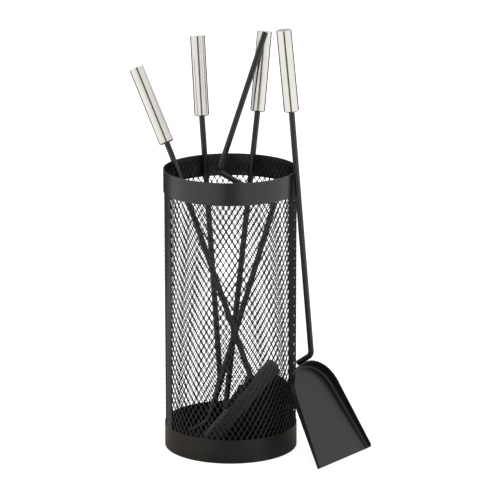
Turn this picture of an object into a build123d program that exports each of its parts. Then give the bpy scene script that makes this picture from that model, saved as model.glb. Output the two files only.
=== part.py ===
from build123d import *
import os
from math import cos, degrees, radians, sin

# Fireplace tool set: a round mesh basket with a brush, a poker and tongs standing in it, and a shovel
# leaning on its rim from outside. Millimetres, +Z up, origin at the centre of the basket's underside.
# +X is to the right and +Y away from the person who faces the set.

# Basket
basket_radius = 75.0
basket_height = 321.4
sheet = 0.8
bottom_band_height = 27.0
top_band_height = 25.6
plate_thickness = 1.0
mesh_thickness = 0.9
mesh_below_rim = 4.0
seam_gap = 0.4
seam_angle = 22.0
strip_width = 14.0
fit_gap = 0.05

# Rods and handles
rod_radius = 3.25
handle_radius = 8.35
handle_wall = 1.0
handle_length = 91.0
cap_thickness = 1.2
cap_plug = 4.0
bush_flange = 2.0
bush_plug = 30.0
bush_chamfer = 1.2
rod_in_bush = 28.0
kink_below_handle = 4.0
kink_radius = 60.0

# Each tool's lean: how far its rod goes right (+X) and back (+Y) per unit of height.
# Every rod has a slight kink just below its handle.
tongs_foot = (-9.0, 13.8, 7.9)
tongs_lean = (0.1098, 0.1484)
tongs_kink_at = 365.7
tongs_handle_turn = -1.1
poker_bend = (-12.2, 36.9, 65.8)
poker_lean = (-0.0663, 0.1045)
poker_kink_at = 299.0
poker_handle_turn = 0.8
brush_bend = (22.4, -26.3, 86.6)
brush_kink = (-66.0, 30.0, 330.3)
brush_handle_lean = (-0.4186, 0.274)
brush_handle_at = 14.0
shovel_lean = (-0.0827, 0.005)
shovel_kink_at = 275.2
shovel_handle_lean = (-0.0965, 0.0058)

# Poker hook, sideways and down from the bend
hook_knee = (-14.0, -46.0)
hook_tip = (-26.0, -60.0)
hook_bend_radius = 14.0

# Tongs: the lever crosses the main rod at the pivot
pivot_height = 282.5
lever_offset = 12.0
lever_angle = 10.65
lever_upper_side = -38.7
lever_upper_bend = 8.6
lever_top = (-34.0, 174.3)
lever_lower_side = 31.8
lever_lower_bend = -7.6
claw_bend = -268.7
claw_tip = (15.8, -284.7)
main_claw_bend = 14.0
main_claw_tip = (15.5, -1.0)
lever_bend_radius = 7.0
claw_bend_radius = 14.0
eye_radius = 6.5
eye_thickness = 5.0
rivet_radius = 2.0
rivet_head_radius = 4.0
rivet_head = 1.6
spacer_radius = 4.5
side_play = 0.3

# Brush head: block_slope is the block's rise above level, along +X
block_centre = (11.6, -26.3, 55.3)
block_slope = 50.3
block_length = 120.0
block_depth = 16.5
block_width = 18.0
block_corner = 5.5
block_edge = 2.0
strap_height = 10.45
strap_start = 34.2
strap_length = 50.0
strap_width = 8.0
strap_thickness = 4.0
screw_places = (14.0, -10.0)
screw_radius = 1.7
screw_head_radius = 3.2
screw_head = 1.8
bristle_length = 46.0
bristle_flare = 4.0
bristle_inset = 3.0
bristle_wall_gap = 0.8

# Shovel: the pan stands on its lip and leans back towards the basket
pan_lip = (125.4, -58.4, 0.0)
pan_yaw = 38.3
pan_lean = 32.3
pan_half_width = 48.9
pan_length = 115.4
pan_taper = 8.0
pan_side_flare = 0.137
pan_rear_flare = 0.05
pan_lip_height = 5.9
pan_rear_height = 12.5
pan_blank_height = 15.0
pan_front_corner = 3.5
pan_sheet = 1.2
pan_fold = 4.0
shovel_rod_foot = 0.6
shovel_rod_knee = 22.9
shovel_bend_radius = 9.0

nodes = {}


def cylinder_up(radius, height, at=0.0):
    return Pos(0, 0, at) * Cylinder(radius, height, align=(Align.CENTER, Align.CENTER, Align.MIN))


def ring(outer, inner, height, at=0.0):
    return cylinder_up(outer, height, at) - cylinder_up(inner, height, at)


def sector(start, end, reach, height, at):
    """A wedge about the Z axis between two angles, up to 180 degrees apart, for cutting rings."""
    middle = radians((start + end) / 2)
    half = radians((end - start) / 2)
    far = reach * 2
    points = [
        (0, 0),
        (far * cos(middle - half), far * sin(middle - half)),
        (far * cos(middle - half / 2), far * sin(middle - half / 2)),
        (far * cos(middle), far * sin(middle)),
        (far * cos(middle + half / 2), far * sin(middle + half / 2)),
        (far * cos(middle + half), far * sin(middle + half)),
    ]
    return Pos(0, 0, at) * extrude(make_face(Polyline(*points, close=True)), height)


def lean_vector(lean):
    return Vector(lean[0], lean[1], 1).normalized()


def lean_plane(foot, lean):
    """A plane whose Z runs up a leaning rod, whose X is to the right and whose Y points back."""
    return Plane(origin=foot, x_dir=Vector(1, 0, -lean[0]), z_dir=lean_vector(lean))


def bent_rod(points, radii):
    """A round rod along straight runs joined by arcs."""
    path = FilletPolyline(*points, radius=radii)
    start = Plane(origin=path @ 0, z_dir=path % 0)
    return sweep(start * Circle(rod_radius), path=path)


def add_handle(tool, plane, at):
    """A steel tube with an end cap, held on the rod by a bush, at a distance up the given plane or place."""
    bore = handle_radius - handle_wall
    tube_length = handle_length - cap_thickness - bush_flange
    tube = ring(handle_radius, bore, tube_length, at + bush_flange)
    top = at + handle_length - cap_thickness
    cap = cylinder_up(handle_radius, cap_thickness, top)
    cap = fillet(cap.edges().sort_by(Axis.Z)[-1], 0.5)
    cap += cylinder_up(bore - fit_gap, cap_plug, top - cap_plug)
    flange = cylinder_up(handle_radius, bush_flange, at)
    flange = chamfer(flange.edges().sort_by(Axis.Z)[0], bush_chamfer)
    bush = flange + cylinder_up(bore - fit_gap, bush_plug, at + bush_flange)
    bush -= cylinder_up(rod_radius + fit_gap, bush_flange + bush_plug, at)
    nodes[tool + "_handle_tube"] = plane * tube
    nodes[tool + "_handle_cap"] = plane * cap
    nodes[tool + "_handle_bush"] = plane * bush


def add_basket():
    inner = basket_radius - sheet
    mesh_outer = inner - fit_gap
    mesh_inner = mesh_outer - mesh_thickness
    mesh_height = basket_height - mesh_below_rim - plate_thickness
    strip_height = basket_height - bottom_band_height - top_band_height
    strip_half = degrees(strip_width / 2 / basket_radius)
    gap_half = degrees(seam_gap / 2 / basket_radius)
    nodes["base_plate"] = cylinder_up(inner - fit_gap, plate_thickness)
    nodes["bottom_band"] = ring(basket_radius, inner, bottom_band_height)
    nodes["top_band"] = ring(basket_radius, inner, top_band_height, basket_height - top_band_height)
    mesh = ring(mesh_outer, mesh_inner, mesh_height, plate_thickness)
    strip = ring(basket_radius, inner, strip_height, bottom_band_height)
    for name, angle in (("rear", seam_angle), ("front", seam_angle + 180)):
        half = sector(angle + gap_half, angle + 180 - gap_half, basket_radius, basket_height, 0)
        nodes["mesh_" + name] = mesh & half
    for name, angle in (("right", seam_angle), ("left", seam_angle + 180)):
        cut = sector(angle - strip_half, angle + strip_half, basket_radius, basket_height, 0)
        nodes["seam_strip_" + name] = strip & cut


def kinked_end(kink_at, turn):
    """The kink and the top end of a rod that runs up Z, then turns sideways below its handle."""
    turn = radians(turn)
    reach = kink_below_handle + rod_in_bush
    return [(0, 0, kink_at), (reach * sin(turn), 0, kink_at + reach * cos(turn))]


def add_kinked_handle(tool, plane, kink_at, turn):
    place = plane.location * Pos(0, 0, kink_at) * Rot(0, turn, 0)
    add_handle(tool, place, kink_below_handle)


def add_poker():
    plane = lean_plane(poker_bend, poker_lean)
    points = [(hook_tip[0], 0, hook_tip[1]), (hook_knee[0], 0, hook_knee[1]), (0, 0, 0)]
    points += kinked_end(poker_kink_at, poker_handle_turn)
    nodes["poker_rod"] = plane * bent_rod(points, [hook_bend_radius, 2 * hook_bend_radius, kink_radius])
    add_kinked_handle("poker", plane, poker_kink_at, poker_handle_turn)


def across(radius, length, depth, height):
    """A cylinder whose axis runs front to back, starting at the given depth."""
    turned = Rot(-90, 0, 0) * Cylinder(radius, length, align=(Align.CENTER, Align.CENTER, Align.MIN))
    return Pos(0, depth, height) * turned


def with_eye(rod, height):
    """The rod with a flattened round eye, drilled for the rivet."""
    half = eye_thickness / 2
    rod += across(eye_radius, eye_thickness, -half, height)
    rod -= across(eye_radius, rod_radius, half, height)
    rod -= across(eye_radius, rod_radius, -half - rod_radius, height)
    return rod - across(rivet_radius + fit_gap, 2 * eye_thickness, -eye_thickness, height)


def add_tongs():
    plane = lean_plane(tongs_foot, tongs_lean)
    half_eye = eye_thickness / 2
    points = [(main_claw_tip[0], 0, main_claw_tip[1]), (0, 0, main_claw_bend)]
    points += kinked_end(tongs_kink_at, tongs_handle_turn)
    main = with_eye(bent_rod(points, [claw_bend_radius, kink_radius]), pivot_height)
    nodes["tongs_rod"] = plane * main

    lever_front = -lever_offset - half_eye
    spacer_length = lever_offset - eye_thickness - side_play
    spacer = across(spacer_radius, spacer_length, -half_eye - spacer_length, pivot_height)
    spacer -= across(rivet_radius + fit_gap, spacer_length, -half_eye - spacer_length, pivot_height)
    nodes["tongs_spacer"] = plane * spacer
    pin_front = lever_front - side_play
    pin = across(rivet_radius, half_eye - pin_front, pin_front, pivot_height)
    pin += across(rivet_head_radius, rivet_head, half_eye, pivot_height)
    pin += across(rivet_head_radius, rivet_head, pin_front - rivet_head, pivot_height)
    nodes["tongs_rivet"] = plane * pin

    points = [
        (claw_tip[0], 0, claw_tip[1]),
        (lever_lower_side, 0, claw_bend),
        (lever_lower_side, 0, lever_lower_bend),
        (lever_upper_side, 0, lever_upper_bend),
        (lever_top[0], 0, lever_top[1]),
    ]
    lever = with_eye(bent_rod(points, [claw_bend_radius, lever_bend_radius, lever_bend_radius]), 0)
    nodes["tongs_lever"] = plane * Pos(0, -lever_offset, pivot_height) * Rot(0, lever_angle, 0) * lever
    add_kinked_handle("tongs", plane, tongs_kink_at, tongs_handle_turn)


def head_plane():
    """The brush head's plane: X up the block, Y back, Z out of the block's back."""
    slope = radians(block_slope)
    return Plane(origin=block_centre, x_dir=(cos(slope), 0, sin(slope)), z_dir=(-sin(slope), 0, cos(slope)))


def add_brush():
    plane = head_plane()
    grip = lean_plane(brush_kink, brush_handle_lean)
    top = grip.origin + grip.z_dir * (brush_handle_at + rod_in_bush)
    foot = Vector(*brush_bend) - plane.x_dir * strap_width
    rod = bent_rod([foot, brush_bend, brush_kink, top], [rod_radius + 1, kink_radius])
    middle = strap_start - strap_length / 2
    strap = Pos(middle, 0, strap_height) * extrude(SlotOverall(strap_length, strap_width), strap_thickness / 2, both=True)
    for place in screw_places:
        strap -= Pos(place, 0, strap_height) * Cylinder(screw_radius + fit_gap, 2 * strap_thickness)
    nodes["brush_rod"] = rod + plane * strap
    add_handle("brush", grip, brush_handle_at)

    profile = RectangleRounded(block_length, block_depth, block_corner)
    block = extrude(Plane.XZ * profile, block_width / 2, both=True)
    block = fillet(block.faces().filter_by(Axis.Y).edges(), block_edge)
    strap_top = strap_height + strap_thickness / 2
    screws = []
    for place in screw_places:
        block -= Pos(place, 0, 0) * cylinder_up(screw_radius + fit_gap, block_depth)
        shank = cylinder_up(screw_radius, strap_top - fit_gap, fit_gap)
        head = cylinder_up(screw_head_radius, screw_head, strap_top)
        screws.append(plane * Pos(place, 0, 0) * (shank + head))
    nodes["brush_block"] = plane * block
    nodes["brush_screws"] = Compound(children=screws)

    under = -block_depth / 2
    root_length = block_length - block_depth
    root = Rectangle(root_length, block_width - 2 * bristle_inset)
    tips = Rectangle(root_length + 2 * bristle_flare, block_width + 2 * bristle_flare)
    tuft = loft(Sketch() + [Pos(0, 0, under) * root, Pos(0, 0, under - bristle_length) * tips])
    room_radius = basket_radius - sheet - fit_gap - mesh_thickness - bristle_wall_gap
    room = cylinder_up(room_radius, basket_height, plate_thickness + bristle_wall_gap)
    nodes["brush_bristles"] = (plane * tuft) & room


def pan_plane():
    """The pan's plane: X along the lip, Y up the pan's floor to its rear, Z out of the floor."""
    yaw = radians(pan_yaw)
    lean = radians(pan_lean)
    ahead = Vector(cos(yaw), -sin(yaw), 0)
    along_lip = Vector(sin(yaw), cos(yaw), 0)
    return Plane(origin=pan_lip, x_dir=along_lip, z_dir=ahead * cos(lean) + Vector(0, 0, sin(lean)))


def pan_outline(height, inset, start):
    """The pan's plan at a height: straight sides that close in from the lip, and a round rear."""
    taper = radians(pan_taper)
    half_width = pan_half_width + pan_side_flare * height / cos(taper)
    rear = pan_length + pan_rear_flare * height
    centre = (rear - half_width * cos(taper)) / (1 - sin(taper))
    radius = rear - centre - inset
    side = (radius * cos(taper), centre + radius * sin(taper))
    lip_half = side[0] + (side[1] - start) * sin(taper) / cos(taper)
    outline = Polyline((-side[0], side[1]), (-lip_half, start), (lip_half, start), side)
    outline += ThreePointArc(side, (0, centre + radius), (-side[0], side[1]))
    return Pos(0, 0, height) * make_face(outline)


def pan_blank(base, inset, start, fold):
    """A solid between two outlines of the pan, with a rounded fold where the walls leave the floor."""
    blank = loft([pan_outline(base, inset, start), pan_outline(pan_blank_height, inset, start)], ruled=True)
    floor_edges = blank.faces().sort_by(Axis.Z)[0].edges()
    return fillet(floor_edges.sort_by(Axis.Y)[1:], fold)


def add_shovel():
    plane = pan_plane()
    outer = pan_blank(0, 0, 0, pan_fold)
    inner = pan_blank(pan_sheet, pan_sheet, -5, pan_fold - pan_sheet)
    reach = pan_length + pan_blank_height
    rise = (pan_rear_height - pan_lip_height) / pan_length
    slope = (reach, pan_lip_height + rise * reach)
    side = make_face(Polyline((0, 0), (reach, 0), slope, (0, pan_lip_height), close=True))
    side = fillet(side.vertices().group_by(Axis.X)[0].sort_by(Axis.Y)[-1], pan_front_corner)
    wedge = extrude(Plane.YZ * side, pan_length, both=True)
    nodes["shovel_pan"] = plane * ((outer - inner) & wedge)

    weld = pan_length + rod_radius + fit_gap
    foot = plane.from_local_coords(Vector(0, weld + pan_rear_flare * shovel_rod_foot, shovel_rod_foot))
    knee = plane.from_local_coords(Vector(0, weld + pan_rear_flare * shovel_rod_knee, shovel_rod_knee))
    kink = knee + lean_vector(shovel_lean) * shovel_kink_at
    grip = lean_plane(kink, shovel_handle_lean)
    top = kink + grip.z_dir * (kink_below_handle + rod_in_bush)
    nodes["shovel_rod"] = bent_rod([foot, knee, kink, top], [shovel_bend_radius, kink_radius])
    add_handle("shovel", grip, kink_below_handle)


add_basket()
add_brush()
add_poker()
add_tongs()
add_shovel()

os.makedirs("parts", exist_ok=True)
for name, shape in nodes.items():
    export_step(shape, f"parts/{name}.step")
    print(name, round(shape.volume, 1))
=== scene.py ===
import math
import random

import bmesh
import bpy
from mathutils import Euler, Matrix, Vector


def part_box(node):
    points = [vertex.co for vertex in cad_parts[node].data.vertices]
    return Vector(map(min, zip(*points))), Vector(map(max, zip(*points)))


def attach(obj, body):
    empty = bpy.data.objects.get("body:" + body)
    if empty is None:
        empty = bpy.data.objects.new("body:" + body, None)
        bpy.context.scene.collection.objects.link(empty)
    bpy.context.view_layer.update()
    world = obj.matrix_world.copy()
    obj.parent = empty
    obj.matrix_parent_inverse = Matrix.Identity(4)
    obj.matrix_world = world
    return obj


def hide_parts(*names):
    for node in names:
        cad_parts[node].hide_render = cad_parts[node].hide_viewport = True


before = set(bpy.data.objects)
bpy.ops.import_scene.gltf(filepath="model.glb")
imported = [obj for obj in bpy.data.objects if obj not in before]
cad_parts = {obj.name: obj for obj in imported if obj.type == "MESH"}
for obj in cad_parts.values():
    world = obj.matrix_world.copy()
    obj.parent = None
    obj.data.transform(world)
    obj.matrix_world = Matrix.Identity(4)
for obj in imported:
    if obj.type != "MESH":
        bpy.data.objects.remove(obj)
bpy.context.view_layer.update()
random.seed(7)

# Sizes are in metres and angles in radians.

# Expanded metal of the basket
MESH_RADIUS = 0.0736
MESH_HALF_THICKNESS = 0.00025
SEAM_ANGLE = math.radians(22)
CELLS_PER_HALF = 35
CELL_ANGLE = math.pi / CELLS_PER_HALF
CELL_HEIGHT = 0.0111
STRAND_HALF_WIDTH = 0.00076
STRAND_TILT = 0.0003
HOLE_END_EASE = 0.2
HOLE_SIDE_EASE = 0.13
WELD_DISTANCE = 0.00001

# Brush head and its tufts
BLOCK_SLOPE = math.radians(50.3)
TUFT_ROWS = 5
TUFTS_PER_ROW = 26
TUFT_REACH_ALONG = 0.0525
TUFT_REACH_ACROSS = 0.0062
TUFT_START = 0.0081
TUFT_RADIUS = 0.0013
TUFT_OPENING = 0.6

# Hairs
HAIRS_PER_TUFT = 18
HAIR_RADIUS = 0.00022
HAIR_SHORTEST = 0.044
HAIR_LONGEST = 0.0465
HAIR_STEPS = 3
HAIR_SIDES = 3
HAIR_TAPER = 0.45
SPLAY_ALONG = 0.004
SPLAY_ACROSS = 0.0032
SCATTER_ALONG = 0.0012
SCATTER_ACROSS = 0.001
SPLAY_POWER = 1.5
HAIR_ROOM_RADIUS = 0.0722
HAIR_FLOOR = 0.0022

# Positions of a ramp's dark and light colour
RAMP_DARK = 0.3
RAMP_LIGHT = 0.7

# Camera, millimetres for the lens and the sensor
CAMERA_LENS = 212.44
CAMERA_SENSOR = 36.0
CAMERA_CLIP_END = 50.0
CAMERA_PLACE = (0, -3.20264, 1.0583)
CAMERA_TURN = (math.radians(90 - 14.5507), math.radians(0.0203), math.radians(-0.396))

# Stage
FLOOR_SIZE = (30, 30)
FLOOR_DROP = 0.0002
FLOOR_COLOUR = (0.42, 0.42, 0.42, 1)
FLOOR_GLOW = 0.82
WHITE = (1, 1, 1, 1)
WORLD_STRENGTH = 1.1


def node_material(name):
    material = bpy.data.materials.new(name)
    material.use_nodes = True
    nodes = material.node_tree.nodes
    return material, nodes, material.node_tree.links, nodes["Principled BSDF"]


def object_noise(nodes, links, scale, detail, stretch=(1, 1, 1), turn=(0, 0, 0)):
    """Noise in the object's own coordinates, stretched along turned axes."""
    place = nodes.new("ShaderNodeTexCoord")
    mapping = nodes.new("ShaderNodeMapping")
    mapping.vector_type = "TEXTURE"
    mapping.inputs["Rotation"].default_value = turn
    mapping.inputs["Scale"].default_value = stretch
    noise = nodes.new("ShaderNodeTexNoise")
    noise.inputs["Scale"].default_value = scale
    noise.inputs["Detail"].default_value = detail
    links.new(place.outputs["Object"], mapping.inputs["Vector"])
    links.new(mapping.outputs["Vector"], noise.inputs["Vector"])
    return noise.outputs["Fac"]


def colour_from(nodes, links, shader, source, dark, light):
    """The shader's colour runs from dark to light as the source value rises."""
    ramp = nodes.new("ShaderNodeValToRGB")
    low, high = ramp.color_ramp.elements
    low.position = RAMP_DARK
    low.color = (*dark, 1)
    high.position = RAMP_LIGHT
    high.color = (*light, 1)
    links.new(source, ramp.inputs["Fac"])
    links.new(ramp.outputs["Color"], shader.inputs["Base Color"])


def roughness_from(nodes, links, shader, source, low, high):
    """The shader's roughness runs from low to high as the source value rises."""
    span = nodes.new("ShaderNodeMapRange")
    span.inputs["To Min"].default_value = low
    span.inputs["To Max"].default_value = high
    links.new(source, span.inputs["Value"])
    links.new(span.outputs["Result"], shader.inputs["Roughness"])


def add_bump(nodes, links, shader, height, strength, distance):
    bump = nodes.new("ShaderNodeBump")
    bump.inputs["Strength"].default_value = strength
    bump.inputs["Distance"].default_value = distance
    links.new(height, bump.inputs["Height"])
    links.new(bump.outputs["Normal"], shader.inputs["Normal"])


def powder_coat(name, dark, light, rough_low, rough_high, specular=0.5):
    """Black powder coat: a fine orange peel, slightly uneven gloss and faint lighter patches."""
    material, nodes, links, shader = node_material(name)
    patches = object_noise(nodes, links, scale=35.0, detail=5.0)
    colour_from(nodes, links, shader, patches, dark, light)
    roughness_from(nodes, links, shader, patches, rough_low, rough_high)
    shader.inputs["Specular IOR Level"].default_value = specular
    peel = object_noise(nodes, links, scale=1400.0, detail=3.0)
    add_bump(nodes, links, shader, peel, strength=0.25, distance=0.00012)
    return material


def stainless(name, turn):
    """Brushed stainless steel: fine lines of uneven gloss around the tube and faint smears of shade."""
    material, nodes, links, shader = node_material(name)
    shader.inputs["Metallic"].default_value = 1.0
    lines = object_noise(nodes, links, scale=900.0, detail=3.0, stretch=(14, 14, 1), turn=turn)
    smears = object_noise(nodes, links, scale=60.0, detail=4.0)
    colour_from(nodes, links, shader, smears, dark=(0.63, 0.61, 0.575), light=(0.67, 0.65, 0.615))
    roughness_from(nodes, links, shader, lines, low=0.15, high=0.19)
    return material


def painted_wood(name):
    """The brush head: black lacquer that lets a little of the wood's grain show."""
    material, nodes, links, shader = node_material(name)
    grain = object_noise(nodes, links, scale=260.0, detail=6.0, stretch=(9, 1, 1), turn=(0, -BLOCK_SLOPE, 0))
    colour_from(nodes, links, shader, grain, dark=(0.022, 0.020, 0.023), light=(0.030, 0.0275, 0.031))
    roughness_from(nodes, links, shader, grain, low=0.42, high=0.58)
    add_bump(nodes, links, shader, grain, strength=0.2, distance=0.0001)
    return material


def hair(name):
    """Black bristle fibre with little gloss and a slight change of shade."""
    material, nodes, links, shader = node_material(name)
    shade = object_noise(nodes, links, scale=420.0, detail=2.0)
    colour_from(nodes, links, shader, shade, dark=(0.002, 0.002, 0.002), light=(0.007, 0.0065, 0.006))
    shader.inputs["Roughness"].default_value = 0.55
    shader.inputs["Specular IOR Level"].default_value = 0.2
    return material


def new_mesh(name, build, material):
    mesh = bpy.data.meshes.new(name)
    build.to_mesh(mesh)
    build.free()
    mesh.materials.append(material)
    return mesh


def new_object(name, mesh):
    piece = bpy.data.objects.new(name, mesh)
    bpy.context.scene.collection.objects.link(piece)
    return piece


def visible_piece(name, mesh, body, replaced):
    """A detailed piece that rides its body in place of a plain CAD node."""
    piece = new_object(name, mesh)
    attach(piece, body)
    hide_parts(replaced)
    return piece


def on_cylinder(angle, height, radius):
    return Vector((radius * math.cos(angle), radius * math.sin(angle), height))


def diamond_hole(half_width, half_height):
    """The hole's outline: a diamond with eased side and end corners."""
    ease_x = half_width * HOLE_END_EASE
    ease_z = half_height * HOLE_SIDE_EASE
    return [
        (half_width, ease_z), (ease_x, half_height), (-ease_x, half_height), (-half_width, ease_z),
        (-half_width, -ease_z), (-ease_x, -half_height), (ease_x, -half_height), (half_width, -ease_z),
    ]


def cell_outlines(half_width, half_height):
    """A cell's four corners, where the strands' middles cross, and the hole the strands leave."""
    edge = math.hypot(half_width, half_height)
    inset_x = STRAND_HALF_WIDTH * edge / half_height
    inset_z = STRAND_HALF_WIDTH * edge / half_width
    corners = [(half_width, 0), (0, half_height), (-half_width, 0), (0, -half_height)]
    return corners, diamond_hole(half_width - inset_x, half_height - inset_z)


def add_cell_side(build, across, middle, radius, outlines, outward):
    """One side of a cell's strands, wound to face outward or inward. It returns the hole's rim.

    The strands are tilted, as stretching leaves them: the rim above the hole stands out, the rim below it in.
    """
    corners, hole = outlines
    hole_top = hole[1][1]
    outer = []
    for x, z in corners:
        outer.append(build.verts.new(on_cylinder(across + x / MESH_RADIUS, middle + z, radius)))
    rim = []
    for x, z in hole:
        tilt = STRAND_TILT * z / hole_top
        rim.append(build.verts.new(on_cylinder(across + x / MESH_RADIUS, middle + z, radius + tilt)))
    for k in range(4):
        here, after = outer[k], outer[(k + 1) % 4]
        strand = (here, after, rim[2 * k + 1], rim[2 * k])
        corner = (here, rim[2 * k], rim[2 * k - 1])
        for face in (strand, corner):
            build.faces.new(face if outward else face[::-1])
    return rim


def expanded_mesh(name, replaced, start_angle, bottom, top, material):
    """Half of the basket's expanded metal: rows of diamonds, each row half a cell on from the last."""
    rows = int((top - bottom) / (CELL_HEIGHT / 2)) - 1
    half_height = (top - bottom) / (rows + 1)
    outlines = cell_outlines(MESH_RADIUS * CELL_ANGLE / 2, half_height)
    build = bmesh.new()
    for row in range(rows):
        middle = bottom + half_height * (row + 1)
        for cell in range(CELLS_PER_HALF):
            across = start_angle + CELL_ANGLE * (cell + 0.5 + 0.5 * (row % 2))
            outside = add_cell_side(build, across, middle, MESH_RADIUS + MESH_HALF_THICKNESS, outlines, True)
            inside = add_cell_side(build, across, middle, MESH_RADIUS - MESH_HALF_THICKNESS, outlines, False)
            for k in range(len(outside)):
                n = (k + 1) % len(outside)
                build.faces.new((outside[k], outside[n], inside[n], inside[k]))
    bmesh.ops.remove_doubles(build, verts=build.verts, dist=WELD_DISTANCE)
    mesh = new_mesh(name, build, material)
    return visible_piece(name, mesh, "basket", replaced)


def head_axes():
    """The brush head's centre and its three directions: up the block, across it and down the bristles."""
    low, high = (Vector(corner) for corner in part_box("brush_block"))
    along = Vector((math.cos(BLOCK_SLOPE), 0, math.sin(BLOCK_SLOPE)))
    down = Vector((math.sin(BLOCK_SLOPE), 0, -math.cos(BLOCK_SLOPE)))
    return (low + high) / 2, along, Vector((0, 1, 0)), down


def keep_in_basket(point):
    radius = math.hypot(point.x, point.y)
    if radius > HAIR_ROOM_RADIUS:
        point.x *= HAIR_ROOM_RADIUS / radius
        point.y *= HAIR_ROOM_RADIUS / radius
    point.z = max(point.z, HAIR_FLOOR)
    return point


def hair_points(base, u, v, along, across, down):
    """One hair's centre line. u and v are its tuft's place on the head, from -1 to 1."""
    turn = random.uniform(0, math.tau)
    spread = math.sqrt(random.random()) * TUFT_RADIUS
    offset = along * (math.cos(turn) * spread) + across * (math.sin(turn) * spread)
    splay_along = u * SPLAY_ALONG + random.gauss(0, SCATTER_ALONG)
    splay_across = v * SPLAY_ACROSS + random.gauss(0, SCATTER_ACROSS)
    splay = along * splay_along + across * splay_across
    length = random.uniform(HAIR_SHORTEST, HAIR_LONGEST)
    points = []
    for step in range(HAIR_STEPS + 1):
        t = step / HAIR_STEPS
        point = base + offset * (1 + TUFT_OPENING * t) + down * (length * t) + splay * t ** SPLAY_POWER
        points.append(keep_in_basket(point))
    return points


def add_hair(build, points, along, down):
    """A thin tapered prism around the points, closed at its tip."""
    side = along.cross(down) * HAIR_RADIUS
    other = along * HAIR_RADIUS
    rings = []
    for step, point in enumerate(points):
        taper = 1 - HAIR_TAPER * step / HAIR_STEPS
        ring = []
        for k in range(HAIR_SIDES):
            angle = math.tau * k / HAIR_SIDES
            ring.append(build.verts.new(point + (side * math.cos(angle) + other * math.sin(angle)) * taper))
        rings.append(ring)
    for lower, upper in zip(rings, rings[1:]):
        for k in range(HAIR_SIDES):
            n = (k + 1) % HAIR_SIDES
            build.faces.new((lower[k], lower[n], upper[n], upper[k]))
    build.faces.new(rings[-1])


def bristles(material):
    """Tufts of fine hairs set in rows along the block, splayed towards their tips."""
    centre, along, across, down = head_axes()
    build = bmesh.new()
    for row in range(TUFT_ROWS):
        for place in range(TUFTS_PER_ROW):
            u = (place + 0.5 + 0.5 * (row % 2)) / (TUFTS_PER_ROW + 0.5) * 2 - 1
            v = row / (TUFT_ROWS - 1) * 2 - 1
            base = centre + along * (u * TUFT_REACH_ALONG) + across * (v * TUFT_REACH_ACROSS)
            base = base + down * TUFT_START
            for _ in range(HAIRS_PER_TUFT):
                add_hair(build, hair_points(base, u, v, along, across, down), along, down)
    mesh = new_mesh("bristles", build, material)
    return visible_piece("bristles", mesh, "brush", "brush_bristles")


def tube_turn(node):
    """The rotation that takes Z to a handle tube's own axis, from the centres of its two ends."""
    points = [Vector(v.co) for v in node.data.vertices]
    low = min(points, key=lambda p: p.z).z
    high = max(points, key=lambda p: p.z).z
    bottom = [p for p in points if p.z < (low + high) / 2]
    top = [p for p in points if p.z >= (low + high) / 2]
    axis = sum(top, Vector()) / len(top) - sum(bottom, Vector()) / len(bottom)
    return axis.to_track_quat("Z", "Y").to_euler()


def paint(names, material):
    for name in names:
        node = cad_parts[name]
        node.data.materials.clear()
        node.data.materials.append(material)


def paint_frame():
    """Materials for the CAD nodes that are seen as they are."""
    band_coat = powder_coat("powder_coat", dark=(0.0088, 0.0072, 0.0062), light=(0.0112, 0.0094, 0.0082),
                            rough_low=0.30, rough_high=0.38)
    pan_coat = powder_coat("pan_coat", dark=(0.003, 0.003, 0.003), light=(0.0045, 0.0045, 0.0045),
                           rough_low=0.26, rough_high=0.34, specular=0.42)
    rod_coat = powder_coat("rod_coat", dark=(0.004, 0.0036, 0.0032), light=(0.0065, 0.006, 0.0055),
                           rough_low=0.22, rough_high=0.3)
    paint(["base_plate", "bottom_band", "top_band", "seam_strip_left", "seam_strip_right"], band_coat)
    paint(["shovel_pan"], pan_coat)
    paint(["brush_rod", "brush_screws", "poker_rod", "shovel_rod"], rod_coat)
    paint(["tongs_rod", "tongs_lever", "tongs_spacer", "tongs_rivet"], rod_coat)
    paint(["brush_block"], painted_wood("block_paint"))
    for tool in ("brush", "poker", "tongs", "shovel"):
        steel = stainless(tool + "_steel", tube_turn(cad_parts[tool + "_handle_tube"]))
        paint([tool + part for part in ("_handle_tube", "_handle_cap", "_handle_bush")], steel)


def add_detail():
    """The expanded metal and the hairs, in place of their plain CAD nodes."""
    mesh_coat = powder_coat("mesh_coat", dark=(0.005, 0.0044, 0.0038), light=(0.008, 0.007, 0.006),
                            rough_low=0.32, rough_high=0.42)
    low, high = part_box("mesh_front")
    expanded_mesh("expanded_rear", "mesh_rear", SEAM_ANGLE, low[2], high[2], mesh_coat)
    expanded_mesh("expanded_front", "mesh_front", SEAM_ANGLE + math.pi, low[2], high[2], mesh_coat)
    bristles(hair("bristle_hair"))


def stage_plane(name, size, place, material, turn=(0, 0, 0)):
    build = bmesh.new()
    bmesh.ops.create_grid(build, x_segments=1, y_segments=1, size=0.5)
    piece = new_object(name, new_mesh(name, build, material))
    piece.scale = (*size, 1)
    piece.location = place
    piece.rotation_euler = turn
    return piece


def hide_from_camera(card):
    """The card is out of shot: only glossy surfaces see it, and it casts no shadow."""
    card.visible_camera = False
    card.visible_shadow = False
    card.visible_diffuse = False
    card.visible_transmission = False


def flag(name, colour):
    """Matt material for a card that is seen only in reflections."""
    material, nodes, links, shader = node_material(name)
    shader.inputs["Base Color"].default_value = (*colour, 1)
    shader.inputs["Roughness"].default_value = 1.0
    shader.inputs["Specular IOR Level"].default_value = 0.0
    return material


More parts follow.
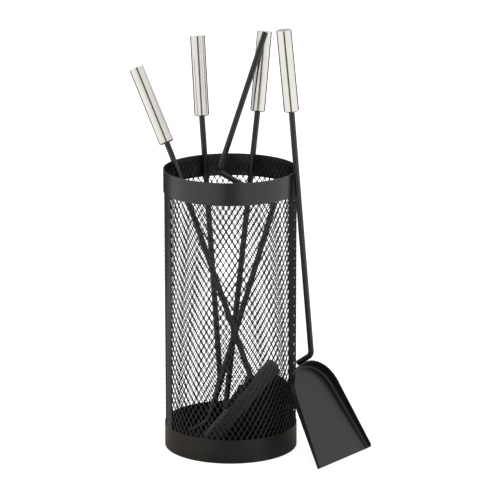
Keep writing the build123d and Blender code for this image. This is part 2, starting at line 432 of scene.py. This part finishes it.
def floor_wedge(name, near, far, half_angle, height, lift, material):
    """A card just above the floor that widens towards the viewer. Its end stands up if it has a height."""
    build = bmesh.new()
    corners = []
    for distance, z in ((near, lift), (far, lift), (far, height)):
        reach = distance * math.tan(half_angle)
        corners.append([build.verts.new((side * reach, -distance, z)) for side in (-1, 1)])
    if height == 0:
        corners.pop()
    for first, second in zip(corners, corners[1:]):
        build.faces.new((first[0], first[1], second[1], second[0]))
    card = new_object(name, new_mesh(name, build, material))
    hide_from_camera(card)
    return card


def floor_paint():
    """Pale matt floor with a glow of its own, so that it stays even around the basket."""
    material, nodes, links, shader = node_material("floor_white")
    shader.inputs["Base Color"].default_value = FLOOR_COLOUR
    shader.inputs["Roughness"].default_value = 0.9
    shader.inputs["Specular IOR Level"].default_value = 0.1
    shader.inputs["Emission Color"].default_value = WHITE
    shader.inputs["Emission Strength"].default_value = FLOOR_GLOW
    return material


def set_stage():
    """Pale floor, and darker cards that shape what the black metal and the steel reflect."""
    stage_plane("floor", FLOOR_SIZE, (0, 0, -FLOOR_DROP), floor_paint())
    near = stage_plane("near_soft", (1.1, 1.1), (0, 0, 0.0004), flag("flag_near", (0.34, 0.31, 0.27)))
    hide_from_camera(near)
    floor_wedge("front_gap", near=0.3, far=4.0, half_angle=math.radians(12.5), height=3.0, lift=0.0008,
                material=flag("flag_dark", (0.085, 0.072, 0.056)))
    floor_wedge("near_gap", near=0.06, far=0.4, half_angle=math.radians(22), height=0.0, lift=0.0012,
                material=flag("flag_low", (0.16, 0.145, 0.125)))
    top = stage_plane("back_top", (5.0, 2.6), (0, 3.2, 2.1), flag("flag_top", (0.45, 0.45, 0.45)),
                      turn=(math.radians(90), 0, 0))
    hide_from_camera(top)
    back = floor_wedge("back_gap", near=0.5, far=3.0, half_angle=math.radians(60), height=0.2, lift=0.0004,
                       material=flag("flag_grey", (0.03, 0.03, 0.03)))
    back.rotation_euler = (0, 0, math.pi)


def set_world():
    """Even white light from all around."""
    world = bpy.data.worlds.new("studio")
    bpy.context.scene.world = world
    world.use_nodes = True
    background = world.node_tree.nodes["Background"]
    background.inputs["Color"].default_value = WHITE
    background.inputs["Strength"].default_value = WORLD_STRENGTH


def set_camera():
    """Telephoto view from about 3.2 metres in front, looking down by about 15 degrees."""
    data = bpy.data.cameras.new("camera")
    data.sensor_width = CAMERA_SENSOR
    data.lens = CAMERA_LENS
    data.clip_end = CAMERA_CLIP_END
    camera = bpy.data.objects.new("camera", data)
    camera.location = CAMERA_PLACE
    camera.rotation_euler = Euler(CAMERA_TURN, "XYZ")
    bpy.context.scene.collection.objects.link(camera)
    bpy.context.scene.camera = camera


paint_frame()
add_detail()
set_stage()
set_world()
set_camera()
bpy.context.scene.view_settings.view_transform = "Standard"
